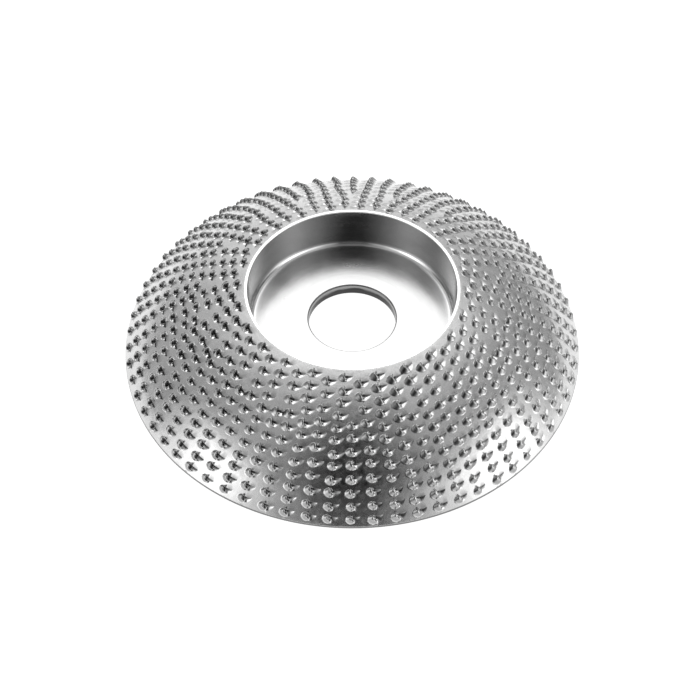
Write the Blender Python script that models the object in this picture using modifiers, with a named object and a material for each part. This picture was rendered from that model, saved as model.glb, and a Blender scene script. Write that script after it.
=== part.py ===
"""Carving disc for an angle grinder: a toothed steel dish welded to a turned hub cup.

Metres, +Z up.  The origin is the centre of the rim's base plane, and +Z is the
disc's axis, towards the toothed side where the grinder's lock nut sits.
"""
import math
import random

import bmesh
import bpy
from mathutils import Matrix, Vector
from mathutils.geometry import interpolate_bezier

MM = 0.001
OBJECT_NAME = "carving_disc"

# Driving dimensions, in millimetres and degrees.
DISC_DIAMETER = 84.0
DISC_HEIGHT = 16.0
BORE_DIAMETER = 16.0
GAP = 0.3              # clearance that neighbouring pieces keep

# Toothed dish: a pressed shell whose slope steepens towards the rim.
SHEET = 1.2            # metal thickness
LIP_SLOPE = 20.0       # downhill angle of the skin at the hole edge
RIM_SLOPE = 58.0       # and at the rim
RIM_EDGE = 0.5         # height of the rim's upright edge
LIP_STEP = 0.1         # the hole edge lies this far below the hub's lip

# Hub cup: the sunk seat for the lock nut.
WELL_LIP_RADIUS = 18.95
WELL_BASE_RADIUS = 18.55
LIP_LAND = 0.6         # width of the flat ring on top of the wall
FLOOR_TOP = 7.8
FLOOR_THICKNESS = 2.3
WELL_FILLET = 0.6      # between the wall and the floor
BORE_CHAMFER = 0.4
SHOULDER_WIDTH = 0.9   # seat under the dish's hole edge
CUP_CORNER = 1.2       # outer radius at the bottom of the cup

# Seam weld: a fillet between the cup's wall and the dish's underside.
WELD_REACH = 1.8       # out along the dish
WELD_DEPTH = 2.6       # down along the cup
WELD_HOLLOW = 0.25

# Teeth, raised from the dish's own metal.
TOOTH_HEIGHT = 1.05
TOOTH_WIDTH = 1.5      # down the slope
TOOTH_LENGTH = 1.7     # round the disc
TOOTH_LEAN = 0.1       # how far the tip overhangs the cutting face
TOOTH_ROOT = 0.35      # how deep the root is sunk into the sheet

# Layout of the teeth.  Full columns run from the hole to the rim, and one
# inserted column starts part of the way down after each run of full columns.
RUNS = (3, 2, 4, 2, 3, 3, 2, 3, 2, 3, 3, 2, 3, 2, 2, 3, 2, 4)
FIRST_COLUMN = -90.4   # angle of the first inserted column
FULL_LEAD = 3.8        # from there to the first full column, at the hole
ROW_PITCH = 2.3
FIRST_ROW = 0.9        # distances down the slope from the hole edge
LAST_ROW = 25.9
ROW_STAGGER = 1.0
INSERT_ROW = 9.4
SPREAD_FROM = 2.0      # the full columns move apart between these two
SPREAD_TO = 12.0
PLACE_JITTER = 0.14
TURN_JITTER = 7.0
SIZE_JITTER = 0.08
JITTER_SEED = 84

# Mesh fineness.
SEGMENTS = 80
SLOPE_STEPS = 7
ARC_STEPS = 3
CURVE_POINTS = 240

RIM_RADIUS = DISC_DIAMETER / 2
BORE_RADIUS = BORE_DIAMETER / 2
SPIGOT_RADIUS = WELL_LIP_RADIUS + LIP_LAND
HOLE_RADIUS = SPIGOT_RADIUS + GAP
SHOULDER_RADIUS = SPIGOT_RADIUS + SHOULDER_WIDTH
WELD_RADIUS = SHOULDER_RADIUS + GAP


def clear_scene():
    for obj in list(bpy.data.objects):
        bpy.data.objects.remove(obj, do_unlink=True)


def make_collection(name):
    collection = bpy.data.collections.new(name)
    bpy.context.scene.collection.children.link(collection)
    return collection


def steel(name, grey, roughness):
    material = bpy.data.materials.new(name)
    material.use_nodes = True
    shader = material.node_tree.nodes["Principled BSDF"]
    shader.inputs["Base Color"].default_value = (grey, grey, grey, 1.0)
    shader.inputs["Metallic"].default_value = 1.0
    shader.inputs["Roughness"].default_value = roughness
    return material


def downhill(degrees):
    """Unit direction (r, z) that falls outward at an angle."""
    angle = math.radians(degrees)
    return Vector((math.cos(angle), -math.sin(angle)))


def arc(centre, radius, start, end):
    """Points (r, z) on an arc, with the angles in degrees."""
    points = []
    for i in range(ARC_STEPS + 1):
        angle = math.radians(start + (end - start) * i / ARC_STEPS)
        points.append((centre[0] + radius * math.cos(angle), centre[1] + radius * math.sin(angle)))
    return points


def slope_curve():
    """Closely spaced points (r, z) on the dish's outer skin, from the hole edge to the rim."""
    start = Vector((HOLE_RADIUS, DISC_HEIGHT - LIP_STEP))
    end = Vector((RIM_RADIUS, RIM_EDGE))
    handle = (end - start).length / 3
    leave = start + downhill(LIP_SLOPE) * handle
    arrive = end - downhill(RIM_SLOPE) * handle
    return interpolate_bezier(start, leave, arrive, end, CURVE_POINTS)


def curve_length(curve):
    return sum((b - a).length for a, b in zip(curve, curve[1:]))


def walk(curve, distance):
    """Point and downhill direction at a distance along the curve."""
    for a, b in zip(curve, curve[1:]):
        step = (b - a).length
        if distance <= step or b is curve[-1]:
            break
        distance -= step
    along = (b - a) / step
    return a + along * distance, along


def dish_underside(curve):
    """Points (r, z) of the dish's inner face, a sheet's thickness under its skin."""
    hole = Vector((HOLE_RADIUS, curve[0].y - SHEET / math.cos(math.radians(LIP_SLOPE))))
    rim_angle = math.radians(RIM_SLOPE)
    land = (SHEET - RIM_EDGE * math.cos(rim_angle)) / math.sin(rim_angle)
    points = [hole]
    for i in range(1, SLOPE_STEPS):
        point, along = walk(curve, curve_length(curve) * i / SLOPE_STEPS)
        points.append(point + Vector((along.y, -along.x)) * SHEET)
    points.append(Vector((RIM_RADIUS - land, 0)))
    return points


def height_under(points, radius):
    """Height of the underside at a radius."""
    for a, b in zip(points, points[1:]):
        if radius <= b.x:
            break
    return a.y + (b.y - a.y) * (radius - a.x) / (b.x - a.x)


def turned(name, outline, material, collection):
    """A solid of revolution from a closed outline of (r, z) points in millimetres."""
    mesh = bpy.data.meshes.new(name)
    vertices = [(r * MM, 0, z * MM) for r, z in outline]
    edges = [(i, (i + 1) % len(outline)) for i in range(len(outline))]
    mesh.from_pydata(vertices, edges, [])
    obj = bpy.data.objects.new(name, mesh)
    collection.objects.link(obj)
    mesh.materials.append(material)
    screw = obj.modifiers.new("turn", "SCREW")
    screw.steps = SEGMENTS
    screw.render_steps = SEGMENTS
    screw.use_merge_vertices = True
    screw.merge_threshold = 0.00001
    screw.use_smooth_shade = True
    return obj


def make_dish(curve, underside, material, collection):
    length = curve_length(curve)
    skin = [walk(curve, length * i / SLOPE_STEPS)[0] for i in range(SLOPE_STEPS + 1)]
    outline = skin + [(RIM_RADIUS, 0)] + underside[::-1]
    return turned("toothed_dish", outline, material, collection)


def smooth_step(value):
    value = min(max(value, 0.0), 1.0)
    return value * value * (3 - 2 * value)


def columns():
    """Each column of teeth as (angle at the hole, angle at the rim, first tooth's distance)."""
    full_count = sum(RUNS)
    hole_step = 360 / full_count
    rim_step = 360 / (full_count + len(RUNS))
    slot = 0
    full = 0
    for run in RUNS:
        at_rim = FIRST_COLUMN + slot * rim_step
        yield at_rim, at_rim, INSERT_ROW
        slot += 1
        for _ in range(run):
            at_hole = FIRST_COLUMN + FULL_LEAD + full * hole_step
            first = FIRST_ROW + (1 - full % 2) * ROW_STAGGER
            yield at_hole, FIRST_COLUMN + slot * rim_step, first
            slot += 1
            full += 1


def tooth_places():
    """Every tooth as (angle in radians, distance down the slope)."""
    for at_hole, at_rim, first in columns():
        rows = round((LAST_ROW - first) / ROW_PITCH)
        for i in range(rows + 1):
            distance = first + (LAST_ROW - first) * i / rows
            spread = smooth_step((distance - SPREAD_FROM) / (SPREAD_TO - SPREAD_FROM))
            yield math.radians(at_hole + (at_rim - at_hole) * spread), distance


def tooth_matrix(curve, angle, distance, twist, size):
    """Places a unit three-sided cone as a tooth whose steep face looks counterclockwise."""
    point, along = walk(curve, distance)
    radial = Vector((math.cos(angle), math.sin(angle), 0))
    upright = Vector((0, 0, 1))
    normal = upright * along.x - radial * along.y
    turn = Matrix.Rotation(twist, 3, normal)
    across = turn @ (radial * along.x + upright * along.y)
    ahead = normal.cross(across)
    height = TOOTH_HEIGHT * size
    rooted = (height + TOOTH_ROOT) / height
    width = TOOTH_WIDTH * size * rooted / math.sqrt(3)
    length = TOOTH_LENGTH * size * rooted / 1.5
    rise = normal * (height + TOOTH_ROOT) + ahead * (length / 2 + TOOTH_LEAN)
    root = radial * point.x + upright * point.y - normal * TOOTH_ROOT
    middle = root - ahead * (TOOTH_LENGTH * size / 6) + rise / 2
    matrix = Matrix.Identity(4)
    for i, column in enumerate((across * width, -ahead * length, rise, middle)):
        matrix.col[i].xyz = column * MM
    return matrix


def make_tooth_stock(curve, cutters):
    """All the teeth as one object of separate pyramids, to be joined to the dish."""
    rng = random.Random(JITTER_SEED)
    bm = bmesh.new()
    for angle, distance in tooth_places():
        angle += rng.uniform(-PLACE_JITTER, PLACE_JITTER) / walk(curve, distance)[0].x
        if FIRST_ROW < distance < LAST_ROW:
            distance += rng.uniform(-PLACE_JITTER, PLACE_JITTER)
        twist = math.radians(rng.uniform(-TURN_JITTER, TURN_JITTER))
        size = 1 + rng.uniform(-SIZE_JITTER, SIZE_JITTER)
        bmesh.ops.create_cone(bm, cap_ends=True, segments=3, radius1=1, radius2=0, depth=1,
                              matrix=tooth_matrix(curve, angle, distance, twist, size))
    bmesh.ops.recalc_face_normals(bm, faces=bm.faces)
    mesh = bpy.data.meshes.new("tooth_stock")
    bm.to_mesh(mesh)
    bm.free()
    obj = bpy.data.objects.new("tooth_stock", mesh)
    cutters.objects.link(obj)
    obj.hide_render = True
    obj.display_type = "WIRE"
    return obj


def raise_teeth(dish, stock):
    union = dish.modifiers.new("teeth", "BOOLEAN")
    union.operation = "UNION"
    union.solver = "EXACT"
    union.object = stock


def make_cup(underside, material, collection):
    floor_base = FLOOR_TOP - FLOOR_THICKNESS
    outline = [
        (SPIGOT_RADIUS, DISC_HEIGHT),
        (SPIGOT_RADIUS, underside[0].y - GAP),
        (SHOULDER_RADIUS, height_under(underside, SHOULDER_RADIUS) - GAP),
    ]
    outline += arc((SHOULDER_RADIUS - CUP_CORNER, floor_base + CUP_CORNER), CUP_CORNER, 0, -90)
    outline += [
        (BORE_RADIUS, floor_base),
        (BORE_RADIUS, FLOOR_TOP - BORE_CHAMFER),
        (BORE_RADIUS + BORE_CHAMFER, FLOOR_TOP),
    ]
    outline += arc((WELL_BASE_RADIUS - WELL_FILLET, FLOOR_TOP + WELL_FILLET), WELL_FILLET, -90, 0)
    outline.append((WELL_LIP_RADIUS, DISC_HEIGHT))
    return turned("hub_cup", outline, material, collection)


def make_weld(underside, material, collection):
    toe_radius = WELD_RADIUS + WELD_REACH
    root = Vector((WELD_RADIUS, height_under(underside, WELD_RADIUS) - GAP))
    toe = Vector((toe_radius, height_under(underside, toe_radius) - GAP))
    foot = root - Vector((0, WELD_DEPTH))
    along = (foot - toe).normalized()
    middle = (toe + foot) / 2 + Vector((along.y, -along.x)) * WELD_HOLLOW
    return turned("seam_weld", [root, toe, middle, foot], material, collection)


def main():
    clear_scene()
    parts = make_collection(OBJECT_NAME)
    cutters = make_collection("cutters")
    curve = slope_curve()
    underside = dish_underside(curve)
    dish = make_dish(curve, underside, steel("toothed_steel", 0.55, 0.34), parts)
    raise_teeth(dish, make_tooth_stock(curve, cutters))
    make_cup(underside, steel("turned_steel", 0.62, 0.24), parts)
    make_weld(underside, steel("weld_steel", 0.30, 0.55), parts)


main()
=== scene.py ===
"""Carving disc for an angle grinder: the visual model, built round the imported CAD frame.

Lengths are in millimetres and angles in degrees, unless a comment says otherwise. Noise
scales are per metre and bump distances are in metres, as Blender has them.
"""

import math
import random

import bmesh
import bpy
import numpy as np
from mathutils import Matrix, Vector
from mathutils.geometry import delaunay_2d_cdt


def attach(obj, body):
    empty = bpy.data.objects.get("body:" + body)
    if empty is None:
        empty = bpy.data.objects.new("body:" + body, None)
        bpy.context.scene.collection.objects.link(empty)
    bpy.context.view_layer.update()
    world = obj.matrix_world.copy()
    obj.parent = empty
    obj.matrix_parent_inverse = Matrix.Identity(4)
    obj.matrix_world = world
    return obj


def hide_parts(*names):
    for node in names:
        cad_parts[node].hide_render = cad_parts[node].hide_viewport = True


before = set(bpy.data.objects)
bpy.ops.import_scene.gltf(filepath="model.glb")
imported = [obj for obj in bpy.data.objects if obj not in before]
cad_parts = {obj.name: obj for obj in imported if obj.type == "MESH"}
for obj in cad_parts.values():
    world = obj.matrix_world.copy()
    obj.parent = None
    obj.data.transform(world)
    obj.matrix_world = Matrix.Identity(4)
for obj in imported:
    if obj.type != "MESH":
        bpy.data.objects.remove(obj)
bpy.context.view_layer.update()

MM = 0.001

# The dish, as the CAD has it.
RIM_RADIUS = 42.0
RIM_EDGE = 0.5         # height of the rim's upright edge
SHEET = 1.2            # metal thickness
SPIGOT_RADIUS = 19.55  # outside of the hub's lip
HOLE_RADIUS = 19.85
LIP_HEIGHT = 16.0
LIP_STEP = 0.1         # the hole edge lies this far below the hub's lip
LIP_SLOPE = 20.0       # downhill angle of the skin at the hole edge
RIM_SLOPE = 58.0       # and at the rim

# Where the teeth stand, as the CAD has them. Distances run down the slope from the hole.
RUNS = (3, 2, 4, 2, 3, 3, 2, 3, 2, 3, 3, 2, 3, 2, 2, 3, 2, 4)  # full columns after each insert
FIRST_COLUMN = -90.4   # angle of the first inserted column
FULL_LEAD = 3.8        # from there to the first full column, at the hole
ROW_PITCH = 2.3
FIRST_ROW = 0.9
LAST_ROW = 25.9
ROW_STAGGER = 1.0
INSERT_ROW = 9.4
SPREAD_FROM = 2.0      # the full columns move apart between these two
SPREAD_TO = 12.0
PLACE_JITTER = 0.14
TURN_JITTER = 7.0
SIZE_JITTER = 0.08
JITTER_SEED = 84

# One tooth is a thorn with a flat cutting face, and the trough it was raised from. Both
# are given from the foot of the cutting face. Direction 0 is along the trough, 90 is down
# the slope, and 180 is the thorn's back.
THORN = (
    # direction, reach of its base, reach of its crest, height of its crest
    (-180, 1.45, 0.12, 0.74),
    (-150, 1.28, 0.14, 0.77),
    (-120, 0.98, 0.24, 0.80),
    (-100, 0.80, 0.46, 0.74),
    (-80, 0.66, 0.48, 0.50),
    (-60, 0.50, 0.42, 0.12),
    (-45, 0.42, 0.40, 0.00),
    (45, 0.42, 0.40, 0.00),
    (60, 0.66, 0.48, 0.04),
    (80, 0.80, 0.52, 0.34),
    (100, 0.92, 0.50, 0.62),
    (120, 1.06, 0.34, 0.70),
    (150, 1.26, 0.18, 0.73),
    (180, 1.40, 0.12, 0.74),
)
TROUGH = (
    # distance along it, depth, half width down the slope, half width up the slope
    (-0.20, 0.00, 0.54, 0.21),
    (0.00, 0.32, 0.76, 0.28),
    (0.30, 0.39, 0.90, 0.29),
    (0.68, 0.36, 0.87, 0.24),
    (1.02, 0.27, 0.71, 0.18),
    (1.36, 0.14, 0.43, 0.11),
    (1.66, 0.00, 0.05, 0.02),
)
THORN_KEYS, BASE_REACH, CREST_REACH, CREST_HEIGHT = zip(*THORN)
TROUGH_AT, TROUGH_DEPTH, TROUGH_LOWER, TROUGH_UPPER = zip(*TROUGH)
NO_TROUGH = 0.01       # half width past the trough's ends, where its depth is 0
PIT_DEPTH = 0.38       # of the cutting face's foot, below the skin
FACE_PROFILE = ((0.0, 0.0), (0.50, 0.22), (0.85, 0.62))  # shares of the crest's reach and rise
FLANK_PROFILE = ((0.40, 0.62), (0.78, 0.20))  # shares of the way to the base, and of the height
TORN_SHADE_SHARE = 0.97      # the torn face and its painted shade fade out by this share of the crest's reach
TORN_SHADE_FADE = 0.06
FACE_SIDES = (78, 100)  # directions, either way, between which it fades in
TORN_SHADE_UP = ((-0.05, 0.0, 0.95, 1.02), (0.0, 0.5, 0.6, 0.3))  # by how far up the trough's wall
TORN_SHADE_ALONG = ((0.0, 0.1, 0.4, 0.6, 1.3, 1.66), (0.0, 1.6, 1.6, 1.0, 1.0, 0.0))  # times this
FOOT_AHEAD = 0.30      # from the tooth's place to the foot of its cutting face
FOOT_DOWN = 0.20
TAIL_TURN = 14.0       # the trough points this far up the slope
THORN_LEAN = 0.50      # how far the thorn leans up the slope, for each unit of height

# The skin's points.
SPOKES = (-180, -158, -136, -118, -100, -80, -58, -25, 25, 58, 80, 100, 118, 136, 158)
TROUGH_OWN = 2         # the trough brings its own points from this row of TROUGH on
SKIN_STEP = 0.68       # spacing on plain skin
SEGMENTS = 360         # points round each edge
FIT_GAP = 0.025        # the seam left between the dish and the hub's lip
TOP_HOLD = 0.06        # a loop this far from each edge keeps the last faces narrow
BOTTOM_HOLD = 0.08
EDGE_CLEAR = 0.15      # a tooth gives no points nearer to an edge than this
THORN_CLEAR = 0.22     # plain points keep this far from a thorn
TROUGH_CLEAR = (1.88, 1.10, 0.56)  # and out of this box: ahead, down and up the slope
NEAR_DOWN = 2.2        # a tooth shapes the skin no further from its foot than this
NEAR_AHEAD = 2.4
MAP_RADIUS = 20.0      # of the skin's top edge on the flat map
JOIN_TOLERANCE = 1e-7

# The rim's edge and the dish's underside.
RIM_PROUD = 0.02       # the upright edge stands this far out
RIM_ROUND = 0.10       # from the skin's end down to it
RIM_FOOT = (0.06, 0.08)  # its lower corner: in, and up
UNDER_LOOPS = 15
UNDER_FROM = 0.27      # the underside's loops run from this far down the skin
UNDER_TO = 0.985       # to this share of its length
UNDER_CLEAR = 0.15     # a loop lower than this would cross the rim's flat
EDGE_ROUND = 0.04      # from the skin's top edge down to the hole's wall
EDGE_FADE = 0.6        # how much of the rim's painted shade reaches the skin's last loop

# The hub, as the CAD has it, but with rounder corners.
WELL_LIP_RADIUS = 18.95
WELL_BASE_RADIUS = 18.55
BORE_RADIUS = 8.0
SHOULDER_RADIUS = 20.45
SEAT_HEIGHT = 14.29
SEAT_FALL = 0.32       # the seat slopes down by this to the shoulder's edge
FLOOR_TOP = 7.8
FLOOR_UNDER = 5.5
LIP_OUTER_CORNER = 0.06
LIP_INNER_CORNER = 0.12
SHOULDER_CORNER = 0.1
CUP_CORNER = 1.2
BORE_CORNERS = (0.25, 0.4)  # under the floor, and on top of it
WELL_FILLET = 0.95
HUB_SEGMENTS = 288
BORE_SHADE_REACH = 0.22     # the bore's painted shade ends this far out from its wall
BORE_SHADE_FADE = 0.12

# The weld, with its section as places (r, z). It reaches across the CAD's gaps, so that it
# meets the dish and the cup.
WELD_ROOT = (20.47, 14.35)
WELD_TOE = (22.95, 13.38)
WELD_FOOT = (20.47, 11.25)
WELD_OUT = (0.72, -0.69)  # the way the bead's face looks
WELD_SWELL = 0.02      # how far the face bulges between ripples
WELD_RIPPLE = 0.16     # and how much further on a ripple
WELD_SKEW = 0.6        # a ripple's one side is steeper
WELD_JITTER = 0.012
WELD_SEED = 5
WELD_RIPPLES = 84
WELD_STEPS = 1008
WELD_POINTS = 12       # round the section

SHARP = 20.0           # edges that bend more than this stay crisp
BEND_HOLD = 0.08       # from the end of a rounded corner to the loop that holds it
BEND_STEPS = 4


# ---------------------------------------------------------------- the skin's profile

def downhill(degrees):
    angle = math.radians(degrees)
    return np.array((math.cos(angle), -math.sin(angle)))


def skin_profile():
    """The skin's section: distances down the slope from the hole, places and directions (r, z)."""
    start = np.array((HOLE_RADIUS, LIP_HEIGHT - LIP_STEP))
    end = np.array((RIM_RADIUS, RIM_EDGE))
    handle = np.linalg.norm(end - start) / 3
    leave = start + downhill(LIP_SLOPE) * handle
    arrive = end - downhill(RIM_SLOPE) * handle
    t = np.linspace(0, 1, 800)[:, None]
    points = ((1 - t) ** 3 * start + 3 * (1 - t) ** 2 * t * leave
              + 3 * (1 - t) * t ** 2 * arrive + t ** 3 * end)
    lead = start - downhill(LIP_SLOPE) * (HOLE_RADIUS - SPIGOT_RADIUS - FIT_GAP)
    points = np.vstack((lead, points))
    size = np.linalg.norm(np.diff(points, axis=0), axis=1)
    distance = np.concatenate(([0], np.cumsum(size))) - size[0]
    along = np.gradient(points, distance, axis=0)
    along /= np.linalg.norm(along, axis=1)[:, None]
    return distance, points, along


DISTANCE, POINTS, ALONG = skin_profile()
TOP, BOTTOM = DISTANCE[0], DISTANCE[-1]
# How far each place is from the top, with each step counted as a share of the radius there.
SPREAD = np.concatenate(([0], np.cumsum(np.diff(DISTANCE) * 2 / (POINTS[1:, 0] + POINTS[:-1, 0]))))


def on_skin(distance, table):
    """The r and z parts of a profile table at these distances."""
    return [np.interp(distance, DISTANCE, table[:, part]) for part in (0, 1)]


def radius_at(distance):
    return np.interp(distance, DISTANCE, POINTS[:, 0])


def surface(distance, angle):
    """Point, outward normal and downhill direction, as rows. The angle is in radians."""
    r, z = on_skin(distance, POINTS)
    dr, dz = on_skin(distance, ALONG)
    c, s = np.cos(angle), np.sin(angle)
    point = np.stack((r * c, r * s, z), axis=1)
    normal = np.stack((-dz * c, -dz * s, dr), axis=1)
    down = np.stack((dr * c, dr * s, dz), axis=1)
    return point, normal, down


# ---------------------------------------------------------------- the teeth

def smooth_step(value):
    value = min(max(value, 0.0), 1.0)
    return value * value * (3 - 2 * value)


def columns():
    """Every column as (angle at the hole, angle at the rim, distance of its first row)."""
    full_count = sum(RUNS)
    hole_step = 360 / full_count
    rim_step = 360 / (full_count + len(RUNS))
    slot = 0
    full = 0
    for run in RUNS:
        at_rim = FIRST_COLUMN + slot * rim_step
        yield at_rim, at_rim, INSERT_ROW
        slot += 1
        for _ in range(run):
            at_hole = FIRST_COLUMN + FULL_LEAD + full * hole_step
            yield at_hole, FIRST_COLUMN + slot * rim_step, FIRST_ROW + (1 - full % 2) * ROW_STAGGER
            slot += 1
            full += 1


def teeth():
    """Every tooth as (distance, angle in radians, twist in radians, size)."""
    rng = random.Random(JITTER_SEED)
    for at_hole, at_rim, first in columns():
        rows = round((LAST_ROW - first) / ROW_PITCH)
        for i in range(rows + 1):
            distance = first + (LAST_ROW - first) * i / rows
            spread = smooth_step((distance - SPREAD_FROM) / (SPREAD_TO - SPREAD_FROM))
            angle = math.radians(at_hole + (at_rim - at_hole) * spread)
            angle += rng.uniform(-PLACE_JITTER, PLACE_JITTER) / radius_at(distance)
            if FIRST_ROW < distance < LAST_ROW:
                distance += rng.uniform(-PLACE_JITTER, PLACE_JITTER)
            twist = math.radians(rng.uniform(-TURN_JITTER, TURN_JITTER))
            yield distance, angle, twist, 1 + rng.uniform(-SIZE_JITTER, SIZE_JITTER)


def tooth_feet():
    """The foot of every tooth as (distance, angle, turn, size). Both angles are in radians."""
    feet = []
    for distance, angle, twist, size in teeth():
        foot_angle = angle + FOOT_AHEAD * size / radius_at(distance)
        turn = twist - math.radians(TAIL_TURN)
        feet.append((distance + FOOT_DOWN * size, foot_angle, turn, size))
    return feet


def by_direction(psi, values):
    return np.interp(np.degrees(psi), THORN_KEYS, values)


def thorn_rings(psi):
    """Rings from the cutting face's foot outwards, as (reach, height) for each direction."""
    base, crest = by_direction(psi, BASE_REACH), by_direction(psi, CREST_REACH)
    height = by_direction(psi, CREST_HEIGHT)
    rise = height + PIT_DEPTH
    rings = [(crest * out, rise * up - PIT_DEPTH) for out, up in FACE_PROFILE]
    rings.append((crest, height))
    rings += [(crest + (base - crest) * out, height * up) for out, up in FLANK_PROFILE]
    rings.append((base, psi * 0))
    return rings


def trough(u, v):
    """How deep the trough is here, and how far up this is: 0 at its line, 1 at its edge."""
    lower = np.interp(u, TROUGH_AT, TROUGH_LOWER, NO_TROUGH, NO_TROUGH)
    upper = np.interp(u, TROUGH_AT, TROUGH_UPPER, NO_TROUGH, NO_TROUGH)
    depth = np.interp(u, TROUGH_AT, TROUGH_DEPTH, 0, 0)
    return depth * np.maximum(1 - np.where(v > 0, v / lower, -v / upper), 0), -v / upper


def tooth_lift(u, v):
    """Height of a tooth's surface above the skin."""
    reach, psi = np.hypot(u, v), np.arctan2(v, u)
    rings = thorn_rings(psi)
    lift = np.zeros_like(reach)
    for (r0, h0), (r1, h1) in zip(rings, rings[1:]):
        part = (reach >= r0) & (reach < r1 + 1e-9)
        share = np.where(part, (reach - r0) / np.maximum(r1 - r0, 1e-6), 0)
        lift = np.where(part, h0 + (h1 - h0) * share, lift)
    deep = trough(u, v)[0]
    return np.where(lift > 0, lift - deep, np.minimum(lift, -deep))


def tooth_torn(u, v):
    """How torn the metal is, and how much shade is painted on it: 1 on the cutting face, and less
    on the trough's upper wall.
    """
    reach, psi = np.hypot(u, v), np.arctan2(v, u)
    face = np.clip((by_direction(psi, CREST_REACH) * TORN_SHADE_SHARE - reach) / TORN_SHADE_FADE, 0, 1)
    face = face * np.interp(np.degrees(np.abs(psi)), FACE_SIDES, (0, 1))
    up = trough(u, v)[1]
    wall = np.interp(up, *TORN_SHADE_UP) * (up < TORN_SHADE_UP[0][-1])
    return np.maximum(face, wall * np.interp(u, *TORN_SHADE_ALONG))


def tooth_points():
    """A tooth's own points (ahead, down) round its foot."""
    psi = np.radians(SPOKES)
    points = [np.zeros((1, 2))]
    for i, (reach, _) in enumerate(thorn_rings(psi)[1:]):
        every = 2 if i == 0 else 1
        points.append(np.stack((reach * np.cos(psi), reach * np.sin(psi)), axis=1)[::every])
    points = np.vstack(points)
    behind = points[:, 0] < TROUGH_AT[TROUGH_OWN]
    points = points[behind | (trough(points[:, 0], points[:, 1])[0] == 0)]
    along = [(at, side) for at, _, lower, upper in TROUGH[TROUGH_OWN:-1]
             for side in (-upper, -0.5 * upper, 0.0, 0.12 * lower, lower)]
    return np.vstack((points, along, ((TROUGH_AT[-1], 0.0),)))


# ---------------------------------------------------------------- the skin's mesh
# Points of the skin are (distance down the slope, angle in radians) until they are placed.

def set_out(own, foot):
    """One tooth's own points, as points of the skin."""
    distance, angle, turn, size = foot
    ahead = (own[:, 0] * math.cos(turn) - own[:, 1] * math.sin(turn)) * size
    down = distance + (own[:, 0] * math.sin(turn) + own[:, 1] * math.cos(turn)) * size
    return np.stack((down, angle + ahead / radius_at(down)), axis=1)


def seen_from(foot, points):
    """Which points are near a tooth's foot, and how far (ahead, down) for a tooth of size 1."""
    distance, angle, turn, size = foot
    near = np.abs(points[:, 0] - distance) < NEAR_DOWN
    swing = (points[:, 1] - angle + np.pi) % (2 * np.pi) - np.pi
    near &= np.abs(swing) * radius_at(distance) < NEAR_AHEAD
    index = np.nonzero(near)[0]
    ahead = swing[index] * radius_at(points[index, 0])
    down = points[index, 0] - distance
    u = (ahead * math.cos(turn) + down * math.sin(turn)) / size
    v = (-ahead * math.sin(turn) + down * math.cos(turn)) / size
    return index, u, v


def even_ring(distance, count, start=0.0):
    angle = (np.arange(count) + start) * 2 * math.pi / count
    return np.stack((np.full(count, distance), angle), axis=1)


def plain_points():
    """An even staggered net over the whole skin."""
    rows = int(round((BOTTOM - TOP) / SKIN_STEP))
    net = []
    for i in range(1, rows):
        distance = TOP + (BOTTOM - TOP) * i / rows
        count = int(round(2 * math.pi * radius_at(distance) / SKIN_STEP))
        net.append(even_ring(distance, count, 0.5 * (i % 2)))
    return np.vstack(net)


def skin_points(feet):
    """The skin's top edge, its bottom edge, and then all points between them."""
    own = tooth_points()
    spots = np.vstack([set_out(own, foot) for foot in feet])
    spots = spots[(spots[:, 0] > TOP + EDGE_CLEAR) & (spots[:, 0] < BOTTOM - EDGE_CLEAR)]
    plain = plain_points()
    clear = np.ones(len(plain), bool)
    ahead, down, up = TROUGH_CLEAR
    for foot in feet:
        index, u, v = seen_from(foot, plain)
        covered = np.hypot(u, v) < by_direction(np.arctan2(v, u), BASE_REACH) + THORN_CLEAR
        covered |= (u > 0) & (u < ahead) & (v > -up) & (v < down)
        clear[index[covered]] = False
    edges = [even_ring(distance, SEGMENTS)
             for distance in (TOP, BOTTOM, TOP + TOP_HOLD, BOTTOM - BOTTOM_HOLD)]
    return np.vstack((*edges, spots, plain[clear]))


def join(points):
    """Triangles between the skin's points, found on a flat map that keeps small shapes true."""
    r = MAP_RADIUS * np.exp(np.interp(points[:, 0], DISTANCE, SPREAD))
    flat = np.stack((r * np.cos(points[:, 1]), r * np.sin(points[:, 1])), axis=1)
    result = delaunay_2d_cdt([Vector(p) for p in flat.tolist()], [], [], 0, JOIN_TOLERANCE)
    faces, origin = result[2], result[3]
    source = [numbers[0] if numbers else -1 for numbers in origin]
    triangles = [[source[i] for i in face] for face in faces]
    in_hole = [all(i < SEGMENTS for i in triangle) for triangle in triangles]
    return [triangle for triangle, hole in zip(triangles, in_hole) if not hole]


def skin():
    """The skin's places, plain normals, lift, torn metal with its painted shade, and triangles."""
    feet = tooth_feet()
    points = skin_points(feet)
    lift, lean, torn = np.zeros((3, len(points)))
    between = points[2 * SEGMENTS:]
    for foot in feet:
        index, u, v = seen_from(foot, between)
        index += 2 * SEGMENTS
        up = tooth_lift(u, v) * foot[3]
        lift[index] += up
        lean[index] += np.maximum(up, 0) * THORN_LEAN
        torn[index] = np.maximum(torn[index], tooth_torn(u, v))
    point, normal, down = surface(points[:, 0], points[:, 1])
    co = point + normal * lift[:, None] - down * lean[:, None]
    return co, normal, lift, torn, join(points)


# ---------------------------------------------------------------- the pieces

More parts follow.
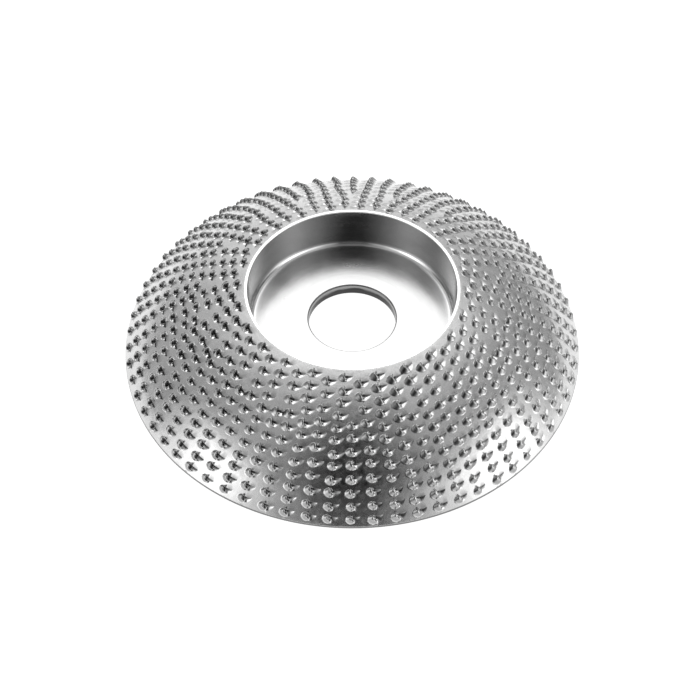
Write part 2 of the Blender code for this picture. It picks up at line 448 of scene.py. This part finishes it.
def make_piece(name, co, faces, material, **layers):
    """An object with smooth faces and crisp edges, and one number a point for each layer."""
    mesh = bpy.data.meshes.new(name)
    mesh.from_pydata((np.asarray(co) * MM).tolist(), [], faces)
    bm = bmesh.new()
    bm.from_mesh(mesh)
    bmesh.ops.recalc_face_normals(bm, faces=bm.faces)
    limit = math.radians(SHARP)
    for edge in bm.edges:
        edge.smooth = len(edge.link_faces) == 2 and edge.calc_face_angle(0) < limit
    for face in bm.faces:
        face.smooth = True
    bm.to_mesh(mesh)
    bm.free()
    for label, values in layers.items():
        layer = mesh.attributes.new(label, "FLOAT", "POINT")
        layer.data.foreach_set("value", np.asarray(values, np.float32))
    mesh.materials.append(material)
    obj = bpy.data.objects.new(name, mesh)
    bpy.context.scene.collection.objects.link(obj)
    return obj


def ring(r, z, count):
    """A level ring of points round the axis."""
    angle = np.arange(count) * 2 * math.pi / count
    return np.stack((r * np.cos(angle), r * np.sin(angle), np.full(count, z)), axis=1)


def ring_faces(first, second, count):
    """Quads between two rings of vertices that start at these numbers."""
    return [(first + i, first + (i + 1) % count, second + (i + 1) % count, second + i)
            for i in range(count)]


def bend(corner, before, after, radius):
    """A rounded corner of an outline of (r, z), held at both ends to keep its sides straight."""
    corner, before, after = (np.array(p, float) for p in (corner, before, after))
    d0, d1 = before - corner, after - corner
    d0, d1 = d0 / np.linalg.norm(d0), d1 / np.linalg.norm(d1)
    start, end = corner + d0 * radius, corner + d1 * radius
    t = np.linspace(0, 1, BEND_STEPS + 1)[:, None]
    arc = (1 - t) ** 2 * start + 2 * (1 - t) * t * corner + t ** 2 * end
    return [tuple(p) for p in (start + d0 * BEND_HOLD, *arc, end + d1 * BEND_HOLD)]


def lathe(corners, count):
    """Points and faces of a closed turned body from its corners (r, z, rounding)."""
    outline = []
    for i, (r, z, radius) in enumerate(corners):
        before, after = corners[i - 1][:2], corners[(i + 1) % len(corners)][:2]
        outline += bend((r, z), before, after, radius) if radius else [(r, z)]
    faces = []
    for i in range(len(outline)):
        faces += ring_faces(i * count, (i + 1) % len(outline) * count, count)
    return np.vstack([ring(r, z, count) for r, z in outline]), faces


def rim_outline():
    """The rim's upright edge and the flat that the disc rests on."""
    steep = math.radians(RIM_SLOPE)
    flat = (SHEET - RIM_EDGE * math.cos(steep)) / math.sin(steep)
    foot_in, foot_up = RIM_FOOT
    return [(RIM_RADIUS + RIM_PROUD, RIM_EDGE - RIM_ROUND), (RIM_RADIUS + RIM_PROUD, foot_up),
            (RIM_RADIUS - foot_in, 0.0), (RIM_RADIUS - flat, 0.0)]


def underside_outline():
    """The sheet's underside from the rim's flat up to the hole, and the hole's edge."""
    hole_r, hole_z = POINTS[0]
    outline = []
    for share in np.linspace(UNDER_TO, 0.0, UNDER_LOOPS):
        distance = TOP + UNDER_FROM + (BOTTOM - TOP - UNDER_FROM) * share
        r, z = on_skin(distance, POINTS)
        dr, dz = on_skin(distance, ALONG)
        outline.append((r + dz * SHEET, z - dr * SHEET))
    outline = [(r, z) for r, z in outline if z > UNDER_CLEAR and r > hole_r]
    last_r, last_z = outline[-1]
    outline.append((hole_r, last_z + (last_r - hole_r) * math.tan(math.radians(LIP_SLOPE))))
    outline.append((hole_r, hole_z - EDGE_ROUND))
    return outline


def make_dish(material):
    """The skin closed by the rim's edge and the underside. Plain skin has the slope's normals."""
    co, normal, lift, torn, faces = skin()
    count = len(co)
    rings = rim_outline() + underside_outline()
    starts = [SEGMENTS, *range(count, count + len(rings) * SEGMENTS, SEGMENTS), 0]
    for first, second in zip(starts, starts[1:]):
        faces += ring_faces(first, second, SEGMENTS)
    co = np.vstack([co] + [ring(r, z, SEGMENTS) for r, z in rings])
    rest = np.zeros(len(co) - count)
    # Painted shade: the rim's upright edge and its lower corner are painted dark, and the skin's
    # bottom edge partly.
    cut = np.zeros(len(co))
    cut[SEGMENTS:2 * SEGMENTS] = EDGE_FADE      # the skin's bottom edge
    cut[count:count + 3 * SEGMENTS] = 1.0       # the rim's upright edge and its lower corner
    dish = make_piece("dish_shell", co, faces, material, lift=np.concatenate((lift, rest)),
                      torn=np.concatenate((torn, rest)), cut=cut)
    plain = np.abs(lift) < 1e-6
    plain[:2 * SEGMENTS] = False
    wanted = np.zeros((len(co), 3))
    wanted[:count][plain] = normal[plain]
    dish.data.normals_split_custom_set_from_vertices(wanted.tolist())
    return dish


def make_hub(material):
    """The turned cup: its lip, well, floor, bore and shoulder in one closed body."""
    under_corner, floor_corner = BORE_CORNERS
    co, faces = lathe([
        (SPIGOT_RADIUS, LIP_HEIGHT, LIP_OUTER_CORNER),
        (SPIGOT_RADIUS, SEAT_HEIGHT, 0),
        (SHOULDER_RADIUS, SEAT_HEIGHT - SEAT_FALL, SHOULDER_CORNER),
        (SHOULDER_RADIUS, FLOOR_UNDER, CUP_CORNER),
        (BORE_RADIUS, FLOOR_UNDER, under_corner),
        (BORE_RADIUS, FLOOR_TOP, floor_corner),
        (WELL_BASE_RADIUS, FLOOR_TOP, WELL_FILLET),
        (WELL_LIP_RADIUS, LIP_HEIGHT, LIP_INNER_CORNER),
    ], HUB_SEGMENTS)
    reach = np.hypot(co[:, 0], co[:, 1])
    bored = np.clip((BORE_RADIUS + BORE_SHADE_REACH - reach) / BORE_SHADE_FADE, 0, 1)
    return make_piece("hub_turned", co, faces, material, bored=bored)


def make_weld(material):
    """A fillet bead, laid in overlapping ripples."""
    rng = random.Random(WELD_SEED)
    toe, foot, out = (np.array(place) for place in (WELD_TOE, WELD_FOOT, WELD_OUT))
    co = []
    faces = []
    for i in range(WELD_STEPS):
        turn = 2 * math.pi * i / WELD_STEPS
        phase = (turn * WELD_RIPPLES) % (2 * math.pi)
        crest = 0.5 + 0.5 * math.cos(phase - WELD_SKEW * math.sin(phase))
        push = WELD_SWELL + WELD_RIPPLE * crest + rng.uniform(-WELD_JITTER, WELD_JITTER)
        shares = [k / (WELD_POINTS - 2) for k in range(WELD_POINTS - 1)]
        section = [toe + (foot - toe) * share + out * push * math.sin(math.pi * share) ** 0.5
                   for share in shares]
        section.append(WELD_ROOT)
        co += [(r * math.cos(turn), r * math.sin(turn), z) for r, z in section]
        faces += ring_faces(i * WELD_POINTS, (i + 1) % WELD_STEPS * WELD_POINTS, WELD_POINTS)
    return make_piece("weld_bead", co, faces, material)


# ---------------------------------------------------------------- materials

class Nodes:
    """Short calls for building a node tree."""

    def __init__(self, tree):
        self.tree = tree

    def add(self, kind, inputs=(), **settings):
        node = self.tree.nodes.new(kind)
        for key, value in settings.items():
            setattr(node, key, value)
        for key, value in dict(inputs).items():
            if isinstance(value, bpy.types.NodeSocket):
                self.tree.links.new(value, node.inputs[key])
            else:
                node.inputs[key].default_value = value
        return node

    def calc(self, operation, *values):
        return self.add("ShaderNodeMath", dict(enumerate(values)), operation=operation).outputs[0]

    def product(self, first, *others):
        for value in others:
            first = self.calc("MULTIPLY", first, value)
        return first

    def mix(self, share, at_zero, at_one):
        return self.add("ShaderNodeMix", {0: share, 2: at_zero, 3: at_one}).outputs[0]

    def spread(self, value, low, high, to_low, to_high, smooth=False):
        """A value between low and high as one between to_low and to_high, and no further."""
        node = self.add("ShaderNodeMapRange", {0: value, 1: low, 2: high, 3: to_low, 4: to_high})
        if smooth:
            node.interpolation_type = "SMOOTHSTEP"
        return node.outputs[0]

    def noise(self, vector, scale, detail=2.0, rough=0.5):
        node = self.add("ShaderNodeTexNoise", {"Vector": vector, "Scale": scale,
                                               "Detail": detail, "Roughness": rough})
        return node.outputs["Fac"]

    def layer(self, name):
        return self.add("ShaderNodeAttribute", attribute_name=name).outputs["Fac"]

    def grey(self, value):
        return self.add("ShaderNodeCombineColor", {0: value, 1: value, 2: value}).outputs[0]


def new_material(name, metallic=1.0):
    """A material, its nodes, its shader and the place on the object as a vector."""
    material = bpy.data.materials.new(name)
    material.use_nodes = True
    nodes = Nodes(material.node_tree)
    shader = material.node_tree.nodes["Principled BSDF"]
    shader.inputs["Metallic"].default_value = metallic
    place = nodes.add("ShaderNodeTexCoord").outputs["Object"]
    return material, nodes, shader, place


def toothed_steel():
    """Bright punched steel: a fine grain, soft waves, painted shade in the pits, on the raised
    thorns, on the torn faces and on the rim's edge, and painted highlights on the tips.
    """
    material, nodes, shader, place = new_material("toothed_steel_skin")
    link = material.node_tree.links.new
    grain = nodes.noise(place, 5200, 3.0, 0.6)
    cloud = nodes.noise(place, 260, 3.0, 0.55)
    lift, torn, cut = (nodes.layer(name) for name in ("lift", "torn", "cut"))
    tone = nodes.product(
        nodes.spread(cloud, 0.3, 0.7, 0.54, 0.61),
        nodes.spread(grain, 0.25, 0.75, 0.93, 1.05),
        nodes.spread(lift, -0.36, -0.20, 0.8, 1.1, True),  # painted shade, darker at the bottom of the pits
        nodes.spread(lift, 0.02, 0.25, 1.0, 0.54, True),   # painted shade on the raised thorns
        nodes.spread(lift, 0.45, 0.72, 1.0, 1.6, True),    # painted highlight on the tips
        # painted shade, near black, on the torn cutting faces and the trough's upper walls
        nodes.spread(torn, 0.0, 0.8, 1.0, 0.07),
        # painted shade on the rim's upright edge
        nodes.spread(cut, 0.0, 1.0, 1.0, 0.26),
    )
    link(nodes.grey(tone), shader.inputs["Base Color"])
    rough = nodes.spread(nodes.noise(place, 900, 4.0, 0.6), 0.3, 0.7, 0.18, 0.30)
    link(nodes.calc("ADD", rough, nodes.product(torn, 0.2)), shader.inputs["Roughness"])
    fine = nodes.add("ShaderNodeBump", {"Height": grain, "Strength": 0.10, "Distance": 0.00004})
    wave = nodes.add("ShaderNodeBump", {"Height": cloud, "Strength": 0.25, "Distance": 0.0002,
                                        "Normal": fine.outputs[0]})
    link(wave.outputs[0], shader.inputs["Normal"])
    return material


def turned_steel():
    """Lathe-turned steel: fine rings round the axis, a painted highlight where wall meets floor,
    painted shade low in the well, and painted shade on the bore's wall.
    """
    material, nodes, shader, place = new_material("turned_steel_hub")
    link = material.node_tree.links.new
    x, y, z = nodes.add("ShaderNodeSeparateXYZ", {0: place}).outputs
    flat = nodes.add("ShaderNodeCombineXYZ", {0: x, 1: y}).outputs[0]
    radius = nodes.add("ShaderNodeVectorMath", {0: flat}, operation="LENGTH").outputs["Value"]
    rings = nodes.add("ShaderNodeCombineXYZ", {0: radius, 1: z}).outputs[0]
    line = nodes.noise(rings, 9000, 4.0, 0.65)
    cloud = nodes.noise(place, 180, 3.0, 0.55)

    def by_height(low, high, to_low, to_high, smooth=False):
        return nodes.spread(z, low * MM, high * MM, to_low, to_high, smooth)

    # A painted highlight on the fillet where the wall meets the floor.
    fillet_highlight = nodes.product(by_height(7.82, 7.9, 0.0, 1.0), by_height(8.3, 8.7, 1.0, 0.0))
    tone = nodes.product(
        nodes.spread(cloud, 0.3, 0.7, 0.58, 0.65),
        nodes.spread(line, 0.3, 0.7, 0.95, 1.03),
        # painted shade: darker down the fillet to the well's floor, and below it
        by_height(7.9, 8.8, 0.80, 1.06),
        nodes.spread(fillet_highlight, 0.0, 1.0, 1.0, 1.7),
    )
    # Painted shade on the bore's wall: dark turned streaks above a ragged line, and darker still
    # below it.
    streak = nodes.spread(nodes.noise(rings, 2600), 0.3, 0.7, 0.14, 0.34)
    wander = nodes.spread(nodes.noise(place, 350), 0.3, 0.7, -0.25 * MM, 0.25 * MM)
    low_bore_shade = nodes.spread(nodes.calc("ADD", z, wander), 6.6 * MM, 7.1 * MM, 0.22, 1.0, True)
    tone = nodes.mix(nodes.layer("bored"), tone, nodes.product(streak, low_bore_shade))
    link(nodes.grey(tone), shader.inputs["Base Color"])
    rough = nodes.calc("ADD", nodes.spread(nodes.noise(rings, 700), 0.3, 0.7, 0.08, 0.12),
                       nodes.spread(cloud, 0.3, 0.7, 0.0, 0.04))
    rough = nodes.calc("ADD", rough, by_height(7.8, 8.1, 0.13, 0.0, True))
    link(rough, shader.inputs["Roughness"])
    fine = nodes.add("ShaderNodeBump", {"Height": line, "Strength": 0.06, "Distance": 0.00002})
    link(fine.outputs[0], shader.inputs["Normal"])
    return material


def weld_steel():
    """Weld metal: dull, with patches of scale and a spatter grain."""
    material, nodes, shader, place = new_material("weld_steel_bead")
    link = material.node_tree.links.new
    cloud = nodes.noise(place, 700, 4.0, 0.6)
    scale = nodes.noise(place, 3200, 4.0, 0.65)
    tone = nodes.product(nodes.spread(cloud, 0.3, 0.7, 0.24, 0.40),
                         nodes.spread(scale, 0.3, 0.7, 0.80, 1.10))
    link(nodes.grey(tone), shader.inputs["Base Color"])
    link(nodes.spread(scale, 0.3, 0.7, 0.36, 0.62), shader.inputs["Roughness"])
    bump = nodes.add("ShaderNodeBump", {"Height": scale, "Strength": 0.4, "Distance": 0.00006})
    link(bump.outputs[0], shader.inputs["Normal"])
    return material


# ---------------------------------------------------------------- the object

dish = make_dish(toothed_steel())
hub = make_hub(turned_steel())
weld = make_weld(weld_steel())
for piece, node, slot in ((dish, "toothed_dish", "toothed_steel"),
                          (hub, "hub_cup", "turned_steel"),
                          (weld, "seam_weld", "weld_steel")):
    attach(piece, "root")
    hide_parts(node)


# ---------------------------------------------------------------- stage, camera and light

FLOOR_HALF = 3000.0
FLOOR_DROP = 0.02      # the floor lies this far under the rim, so that the two don't touch
FLOOR_GLOW = 0.90      # near white, and still dimmed a little by the object's shadow

CAMERA_RISE = 49.377
CAMERA_DISTANCE = 411.9
CAMERA_LENS = 113.68
CAMERA_SENSOR = 36.0
LOOK_AT = (-0.398, 0.0, -1.376)

# Brightness of the studio by azimuth: 0 is towards the camera, and positive is to the right.
LOW = ((-180, 1.00), (-155, 0.88), (-135, 0.56), (-98, 0.42), (-84, 1.00), (-74, 2.1), (-58, 2.1),
       (-44, 0.85), (-28, 0.36), (-12, 0.075), (10, 0.065), (23, 0.36), (40, 0.90),
       (54, 1.6), (62, 2.5), (80, 2.5), (92, 1.00), (108, 0.44), (140, 0.40), (160, 0.68),
       (180, 1.00))
HIGH = ((-180, 0.70), (-130, 0.52), (-100, 0.38), (-62, 0.50), (-38, 0.28), (-21, 0.07),
        (-10, 0.00), (8, 0.00), (20, 0.08), (38, 0.30), (62, 0.54), (100, 0.38), (130, 0.52),
        (180, 0.70))
OVERHEAD = 0.20
LOW_TO_HIGH = (26, 41)       # elevations between which one turns into the other
HIGH_TO_OVERHEAD = (62, 85)

# A large round panel high up behind, in a glow. An edge is two angles from the panel's
# middle: where it fades in, and where it is full.
PANEL = 2.4
PANEL_RISE = 60.0
PANEL_EDGE = (29, 21)
GLOW_SHARE = 0.26            # of the panel's brightness
GLOW_EDGE = (44.5, 28)


def make_floor():
    material, nodes, shader, place = new_material("pale_floor", 0.0)
    tone = nodes.spread(nodes.noise(place, 3.0), 0.3, 0.7, 0.39, 0.41)
    material.node_tree.links.new(nodes.grey(tone), shader.inputs["Base Color"])
    shader.inputs["Roughness"].default_value = 0.9
    shader.inputs["Specular IOR Level"].default_value = 0.1
    shader.inputs["Emission Color"].default_value = (1, 1, 1, 1)
    shader.inputs["Emission Strength"].default_value = FLOOR_GLOW
    half = FLOOR_HALF * MM
    mesh = bpy.data.meshes.new("floor")
    mesh.from_pydata([(-half, -half, 0), (half, -half, 0), (half, half, 0), (-half, half, 0)], [],
                     [(0, 1, 2, 3)])
    mesh.materials.append(material)
    floor = bpy.data.objects.new("floor", mesh)
    floor.location.z = -FLOOR_DROP * MM
    bpy.context.scene.collection.objects.link(floor)


def make_camera():
    rise = math.radians(CAMERA_RISE)
    data = bpy.data.cameras.new("camera")
    data.lens = CAMERA_LENS
    data.sensor_width = CAMERA_SENSOR
    data.clip_start = 10 * MM
    data.clip_end = 20000 * MM
    camera = bpy.data.objects.new("camera", data)
    x, y, z = LOOK_AT
    camera.location = Vector((x, y - CAMERA_DISTANCE * math.cos(rise),
                              z + CAMERA_DISTANCE * math.sin(rise))) * MM
    camera.rotation_euler = (math.pi / 2 - rise, 0, 0)
    bpy.context.scene.collection.objects.link(camera)
    bpy.context.scene.camera = camera


def around(nodes, turn, stops):
    """Brightness by azimuth. The turn goes from 0 at -180 degrees to 1 at 180."""
    ramp = nodes.add("ShaderNodeValToRGB", {0: turn})
    ramp.color_ramp.interpolation = "EASE"
    elements = ramp.color_ramp.elements
    while len(elements) < len(stops):
        elements.new(0.5)
    for element, (degrees, value) in zip(elements, stops):
        element.position = (degrees + 180) / 360
        element.color = (value, value, value, 1)
    return ramp.outputs[0]


def make_light():
    """The studio that the metal reflects. The camera itself sees plain white there."""
    world = bpy.data.worlds.new("studio")
    world.use_nodes = True
    bpy.context.scene.world = world
    nodes = Nodes(world.node_tree)
    look = nodes.add("ShaderNodeTexCoord").outputs["Generated"]
    x, y, z = nodes.add("ShaderNodeSeparateXYZ", {0: look}).outputs
    azimuth = nodes.calc("ARCTAN2", x, nodes.calc("MULTIPLY", y, -1.0))
    turn = nodes.spread(azimuth, -math.pi, math.pi, 0.0, 1.0)
    rise = nodes.calc("ARCSINE", z)
    panel_rise = math.radians(PANEL_RISE)
    middle = Vector((0, math.cos(panel_rise), math.sin(panel_rise)))
    near = nodes.add("ShaderNodeVectorMath", {0: look, 1: middle},
                     operation="DOT_PRODUCT").outputs["Value"]

    def above(elevations):
        low, high = (math.radians(degrees) for degrees in elevations)
        return nodes.spread(rise, low, high, 0.0, 1.0, True)

    def within(edge, share):
        outer, inner = (math.cos(math.radians(degrees)) for degrees in edge)
        return nodes.spread(near, outer, inner, 0.0, share, True)

    lit = nodes.mix(above(LOW_TO_HIGH), around(nodes, turn, LOW), around(nodes, turn, HIGH))
    lit = nodes.mix(above(HIGH_TO_OVERHEAD), lit, OVERHEAD)
    panel = nodes.calc("ADD", within(GLOW_EDGE, GLOW_SHARE), within(PANEL_EDGE, 1 - GLOW_SHARE))
    lit = nodes.mix(panel, lit, PANEL)
    seen = nodes.add("ShaderNodeLightPath").outputs["Is Camera Ray"]
    lit = nodes.mix(seen, lit, 1.0)
    world.node_tree.links.new(nodes.grey(lit), world.node_tree.nodes["Background"].inputs["Color"])


make_floor()
make_camera()
make_light()
bpy.context.scene.view_settings.view_transform = "Standard"
